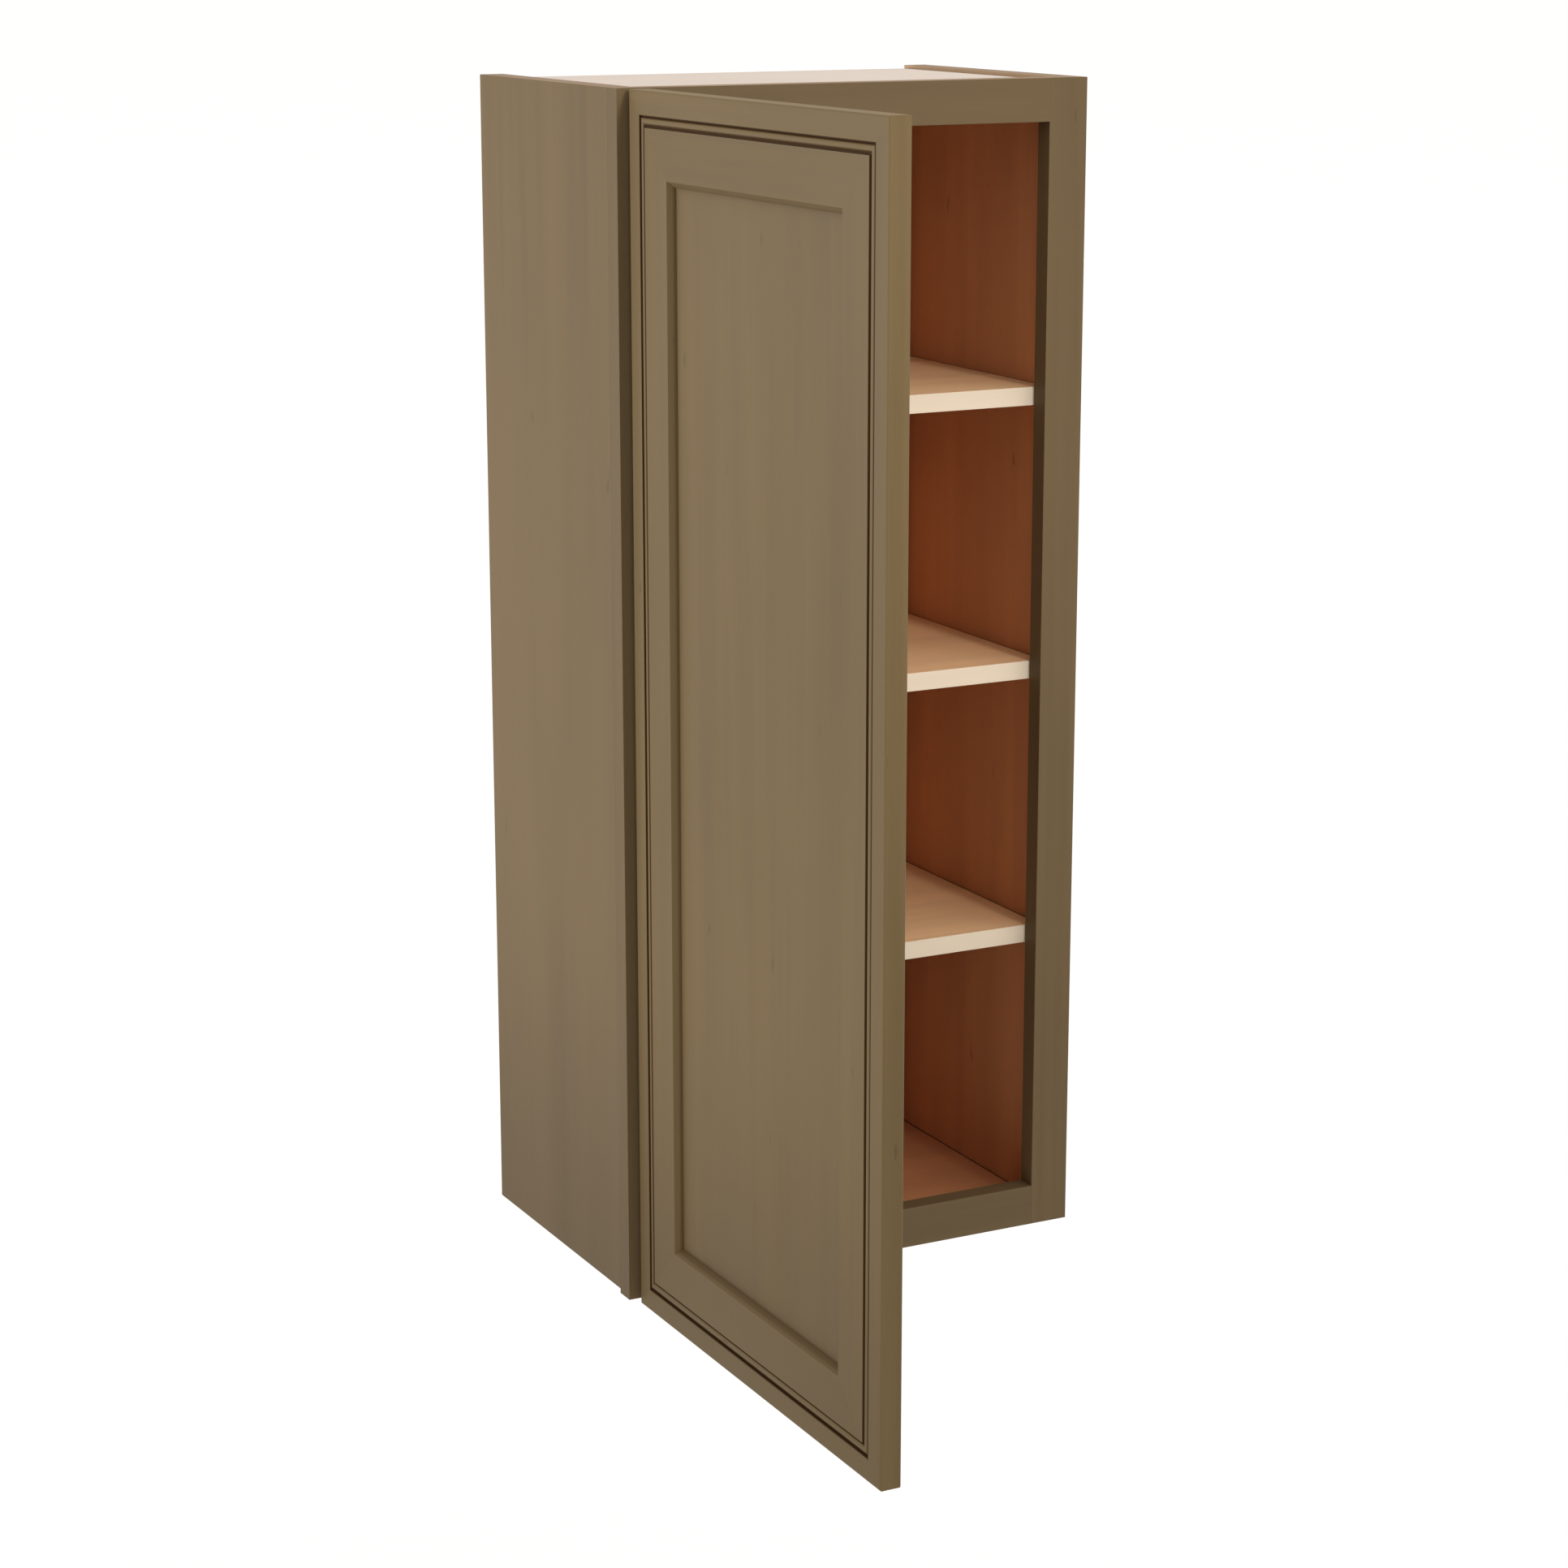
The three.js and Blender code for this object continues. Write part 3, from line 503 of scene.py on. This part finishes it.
# How far the corners of each kind of piece are rounded.
BOARD_EASE = 0.3 * MM
FRAME_EASE = 0.35 * MM
DOOR_EASE = 0.15 * MM
SOFT_EASE = 0.4 * MM
RAIL_EASE = 0.5 * MM
STEEL_EASE = 0.25 * MM
BUMPER_EASE = 1.0 * MM

GAP = 0.1 * MM                 # the space that the CAD model leaves between glued faces
SHUT = 0.09 * MM               # how far a glued face is moved to shut that space


def clean_copy(node):
    """A working copy of a CAD node's mesh, with vertices welded, flat faces whole and round ones smooth."""
    shape = bmesh.new()
    shape.from_mesh(frame["nodes"][node].data)
    bmesh.ops.remove_doubles(shape, verts=shape.verts, dist=WELD)
    bmesh.ops.dissolve_limit(shape, angle_limit=FLAT / 2, verts=shape.verts, edges=shape.edges)
    bmesh.ops.recalc_face_normals(shape, faces=shape.faces)
    for face in shape.faces:
        angles = [edge.calc_face_angle(0.0) for edge in face.edges]
        face.smooth = any(FLAT < angle < ROUND for angle in angles)
    return shape


def ease_edges(shape, width, segments, keep):
    """Rounds the outside corners by width. Edges for which keep is true, and very short ones, stay sharp."""
    chosen = [
        edge for edge in shape.edges
        if edge.is_manifold
        and edge.calc_face_angle_signed(0.0) > ROUND
        and edge.calc_length() > 3 * width
        and not (keep and keep(edge))
    ]
    made = bmesh.ops.bevel(
        shape,
        geom=chosen,
        offset=width,
        segments=segments,
        profile=0.5,
        affect="EDGES",
        clamp_overlap=True,
    )
    for face in made["faces"]:
        face.smooth = True


def place_piece(node, shape, materials, pick=None):
    """Turns a working mesh into a piece that stands for a CAD node and rides on its body."""
    name = f"{node}_finished"
    mesh = bpy.data.meshes.new(name)
    shape.to_mesh(mesh)
    shape.free()
    for material in materials:
        mesh.materials.append(MATERIALS[material])
    if pick:
        for polygon in mesh.polygons:
            polygon.material_index = pick(polygon.center, polygon.normal)
    piece = bpy.data.objects.new(name, mesh)
    bpy.context.scene.collection.objects.link(piece)
    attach(piece, BODY_OF[node])
    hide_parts(node)
    return piece


def refine(node, materials, width, segments=2, keep=None, pick=None, reshape=None):
    """Stands a finely finished piece in for a CAD node: same shape, with corners eased by width.

    reshape changes the working mesh first, keep says which edges stay sharp, and pick gives a face's
    material from its centre and normal.
    """
    shape = clean_copy(node)
    if reshape:
        reshape(shape)
    ease_edges(shape, width, segments, keep)
    for edge in shape.edges:
        edge.smooth = edge.calc_face_angle(0.0) < SHARP
    place_piece(node, shape, materials, pick)


def lies_on(edge, axis, level):
    """True if both ends of an edge lie on the plane at a level along an axis."""
    return all(abs(vertex.co[axis] - level) < NEAR for vertex in edge.verts)


# ---------------------------------------------------------------- case and frame

CASE_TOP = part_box("left_side")[1].z
TOP_PANEL_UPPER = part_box("top_panel")[1].z
EDGE_FACING = 0.9              # a face whose normal has more than this along an axis faces that way
LONGEST_MORTISE_EDGE = 50 * MM


def on_case_top(centre, normal):
    return normal.z > EDGE_FACING and centre.z > CASE_TOP - MM


def raw_on_top(centre, normal):
    """The upper ends of the stained boards are left bare."""
    return int(on_case_top(centre, normal))


def raw_on_side(centre, normal):
    """A side is bare above the top panel and on its rear and lower edges, and darker bare on its top."""
    if on_case_top(centre, normal):
        return 2
    above = centre.z > TOP_PANEL_UPPER
    return int(above or normal.y > EDGE_FACING or normal.z < -EDGE_FACING)


def make_case():
    """The edges where the skins are glued to the face frame stay sharp."""
    frame_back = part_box("frame_left_stile")[1].y
    for node in ("left_end_skin", "right_end_skin"):
        refine(
            node,
            ["stain_z", "raw_top"],
            BOARD_EASE,
            keep=lambda edge: lies_on(edge, Y, frame_back + GAP),
            pick=raw_on_top,
        )
    for node in ("left_side", "right_side"):
        refine(node, ["interior_z", "raw_edge", "raw_top"], BOARD_EASE, pick=raw_on_side)
    refine("top_panel", ["top"], SOFT_EASE)
    refine("floor_panel", ["floor_board"], SOFT_EASE)
    refine("back_panel", ["back"], BOARD_EASE)
    for node in ("upper_hanging_rail", "lower_hanging_rail"):
        refine(node, ["interior_x"], RAIL_EASE)


def at_rail_end(edge, joint):
    """True for a short edge round a stile's mortise. The long arris beside the opening is eased."""
    return lies_on(edge, X, joint) and edge.calc_length() < LONGEST_MORTISE_EDGE


def make_face_frame():
    """The frame's joints are glued and sanded flush, so their corners stay sharp and nearly shut."""
    _, left_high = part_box("frame_left_stile")
    right_low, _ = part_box("frame_right_stile")
    joints = (left_high.x, right_low.x)
    back = left_high.y
    shoulders = (joints[0] + GAP, joints[1] - GAP)

    def shut_shoulders(shape):
        for vertex in shape.verts:
            for shoulder, outward in zip(shoulders, (-1, 1)):
                if abs(vertex.co.x - shoulder) < NEAR:
                    vertex.co.x += outward * SHUT

    def at_shoulder(edge):
        return any(lies_on(edge, X, joint + step) for joint, step in zip(joints, (GAP - SHUT, SHUT - GAP)))

    for side, joint in zip(("left", "right"), joints):
        refine(
            f"frame_{side}_stile",
            ["frame_z", "raw_top"],
            FRAME_EASE,
            keep=lambda edge: at_rail_end(edge, joint) or lies_on(edge, Y, back),
            pick=raw_on_top,
        )
    for end in ("top", "bottom"):
        refine(
            f"frame_{end}_rail",
            ["frame_x", "raw_top"],
            FRAME_EASE,
            keep=lambda edge: at_shoulder(edge) or lies_on(edge, Y, back),
            pick=raw_on_top,
            reshape=shut_shoulders,
        )


def make_shelves():
    for level in ("lower", "middle", "upper"):
        refine(f"{level}_shelf", ["shelf"], BOARD_EASE)
        refine(f"{level}_shelf_edge_band", ["cream"], BOARD_EASE)
        for side in ("left", "right"):
            for row in ("front", "back"):
                refine(f"{level}_shelf_pin_{side}_{row}", ["nickel"], SOFT_EASE, segments=3)


# ---------------------------------------------------------------- door

def make_door():
    """The four members meet at mitres that are glued and sanded, so the mitres are nearly shut."""
    low, high = door_box()
    for node in DOOR_NODES:
        along, across = (Z, Y) if "stile" in node else (Y, Z)
        outer_is_low = abs(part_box(node)[0][across] - low[across]) < MM

        def inset(point):
            """A point's distance from the member's outer edge."""
            return point[across] - low[across] if outer_is_low else high[across] - point[across]

        def mitre_end(point):
            """-1 or 1 for a point on the mitre at the member's lower or upper end, and 0 elsewhere."""
            for end, reach in ((-1, point[along] - low[along]), (1, high[along] - point[along])):
                if abs(reach - inset(point) - GAP) < NEAR:
                    return end
            return 0

        def shut_mitres(shape):
            for vertex in shape.verts:
                vertex.co[along] += mitre_end(vertex.co) * SHUT

        def on_mitre(edge):
            def off_mitre(point):
                reaches = (point[along] - low[along], high[along] - point[along])
                return min(abs(reach - inset(point)) for reach in reaches)

            return all(off_mitre(vertex.co) < GAP / 2 for vertex in edge.verts)

        # Faces on the door's top get the lighter copy of the stain, a painted highlight.
        def highlight_on_top(centre, normal):
            return int(normal.z > EDGE_FACING and centre.z > high.z - MM)

        material = "door_z" if along == Z else "door_y"
        refine(
            node,
            [material, "door_top_painted_highlight"],
            DOOR_EASE,
            keep=on_mitre,
            pick=highlight_on_top,
            reshape=shut_mitres,
        )
    refine("door_panel", ["door_z"], BOARD_EASE)
    for end in ("low", "high"):
        refine(f"door_bumper_{end}", ["plastic"], BUMPER_EASE, segments=4)


# ---------------------------------------------------------------- hinges

SCREW_SIDES = 28
THREAD_PITCH = 1.5 * MM
THREAD_STEPS = 6               # rings for each turn of the thread
THREAD_DEPTH = 0.22            # as a share of the shank's radius
TIP_LENGTH = 3.0 * MM
TIP_SHARE = 0.15               # the tip's radius, as a share of the shank's
HEAD_RINGS = 5
HEAD_FLAT = 0.25               # the radius of the head's flat top, as a share of the head's
FRAME_SCREW = {"shank": 2.0 * MM, "head": 2.0 * MM, "recess": 1.2 * MM}
CUP_SCREW = {"shank": 1.75 * MM, "head": 0.7 * MM, "recess": 0.5 * MM}
RECESS_ARM = 0.16              # half the width of a recess arm, as a share of the head's radius
RECESS_REACH = 0.55
RECESS_TAPER = 0.55            # the recess's width at its bottom, as a share of the width at its mouth


def screw_rings(length, head_radius, shank, head):
    """Rings of a screw from its tip to its head: distance from the tip, radius, depth of the thread."""
    neck = length - head
    step = THREAD_PITCH / THREAD_STEPS
    rings = []
    for i in range(1, int(neck / step)):
        distance = i * step
        taper = min(1.0, TIP_SHARE + (1 - TIP_SHARE) * distance / TIP_LENGTH)
        rings.append((distance, shank * taper, THREAD_DEPTH * taper))
    rings.append((neck, shank * (1 - THREAD_DEPTH), 0.0))
    for i in range(HEAD_RINGS + 1):
        turn = math.pi / 2 * i / HEAD_RINGS
        share = HEAD_FLAT + (1 - HEAD_FLAT) * math.cos(turn)
        rings.append((neck + head * math.sin(turn), head_radius * share, 0.0))
    return rings


def screw_shape(low, high, shank, head):
    """A screw along +X whose thread climbs once round for each pitch."""
    shape = bmesh.new()
    middle_y, middle_z = (low.y + high.y) / 2, (low.z + high.z) / 2
    length = high.x - low.x
    head_radius = (high.z - low.z) / 2
    rows = []
    for distance, radius, thread in screw_rings(length, head_radius, shank, head):
        row = []
        for side in range(SCREW_SIDES):
            turn = side / SCREW_SIDES
            phase = (distance / THREAD_PITCH - turn) % 1.0
            reach = radius * (1 - thread * abs(2 * phase - 1))
            angle = 2 * math.pi * turn
            place = (
                low.x + distance,
                middle_y + reach * math.cos(angle),
                middle_z + reach * math.sin(angle),
            )
            row.append(shape.verts.new(place))
        rows.append(row)
    for row, following in zip(rows, rows[1:]):
        for i in range(SCREW_SIDES):
            j = (i + 1) % SCREW_SIDES
            shape.faces.new((row[i], row[j], following[j], following[i]))
    tip = shape.verts.new((low.x, middle_y, middle_z))
    for i in range(SCREW_SIDES):
        shape.faces.new((rows[0][(i + 1) % SCREW_SIDES], rows[0][i], tip))
    shape.faces.new(rows[-1])
    bmesh.ops.recalc_face_normals(shape, faces=shape.faces)
    return shape


def cross_recess(low, high, depth):
    """A cross-shaped plug that narrows inwards, for cutting a screw head's recess."""
    radius = (high.z - low.z) / 2
    arm, reach = RECESS_ARM * radius, RECESS_REACH * radius
    one_arm = [(arm, arm), (arm, reach), (-arm, reach)]
    quarter_turns = [math.pi / 2 * i for i in range(4)]
    points = [
        (math.cos(turn) * y - math.sin(turn) * z, math.sin(turn) * y + math.cos(turn) * z)
        for turn in quarter_turns
        for y, z in one_arm
    ]
    middle_y, middle_z = (low.y + high.y) / 2, (low.z + high.z) / 2
    cross = bmesh.new()
    mouth, bottom = high.x + depth / 2, high.x - depth
    rims = [
        [cross.verts.new((x, middle_y + share * y, middle_z + share * z)) for y, z in points]
        for x, share in ((mouth, 1.0), (bottom, RECESS_TAPER))
    ]
    count = len(points)
    for i in range(count):
        j = (i + 1) % count
        cross.faces.new((rims[0][i], rims[0][j], rims[1][j], rims[1][i]))
    cross.faces.new(rims[0])
    cross.faces.new(rims[1])
    bmesh.ops.recalc_face_normals(cross, faces=cross.faces)
    return cross


def cut(shape, tool):
    """The shape with the tool's space taken out of it. Both are working meshes, and are used up."""
    objects = []
    for name, source in (("cut_body", shape), ("cut_tool", tool)):
        mesh = bpy.data.meshes.new(name)
        source.to_mesh(mesh)
        source.free()
        holder = bpy.data.objects.new(name, mesh)
        bpy.context.scene.collection.objects.link(holder)
        objects.append(holder)
    body, blade = objects
    modifier = body.modifiers.new("cut", "BOOLEAN")
    modifier.object = blade
    modifier.solver = "EXACT"
    cut_mesh = body.evaluated_get(bpy.context.evaluated_depsgraph_get()).to_mesh()
    result = bmesh.new()
    result.from_mesh(cut_mesh)
    for holder in objects:
        mesh = holder.data
        bpy.data.objects.remove(holder)
        bpy.data.meshes.remove(mesh)
    return result


def make_screw(node, sizes):
    """Stands a threaded screw with a cross recess in for a CAD node."""
    low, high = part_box(node)
    shape = screw_shape(low, high, sizes["shank"], sizes["head"])
    shape = cut(shape, cross_recess(low, high, sizes["recess"]))
    for face in shape.faces:
        face.smooth = len(face.verts) == 4
    piece = place_piece(node, shape, ["nickel"])
    piece.data.set_sharp_from_angle(angle=SCREW_SHARP)


def make_hinges():
    for level in ("lower", "middle", "upper"):
        for part in ("base", "arm", "cup", "pin"):
            refine(f"{level}_hinge_{part}", ["nickel"], STEEL_EASE)
        make_screw(f"{level}_hinge_frame_screw", FRAME_SCREW)
        for end in ("low", "high"):
            make_screw(f"{level}_hinge_cup_screw_{end}", CUP_SCREW)


# ---------------------------------------------------------------- assembly

bpy.context.scene.view_settings.view_transform = "Standard"
make_camera()
make_world()
make_floor()
for lamp in LAMPS:
    make_lamp(*lamp)
make_case()
make_face_frame()
make_shelves()
make_door()
make_hinges()
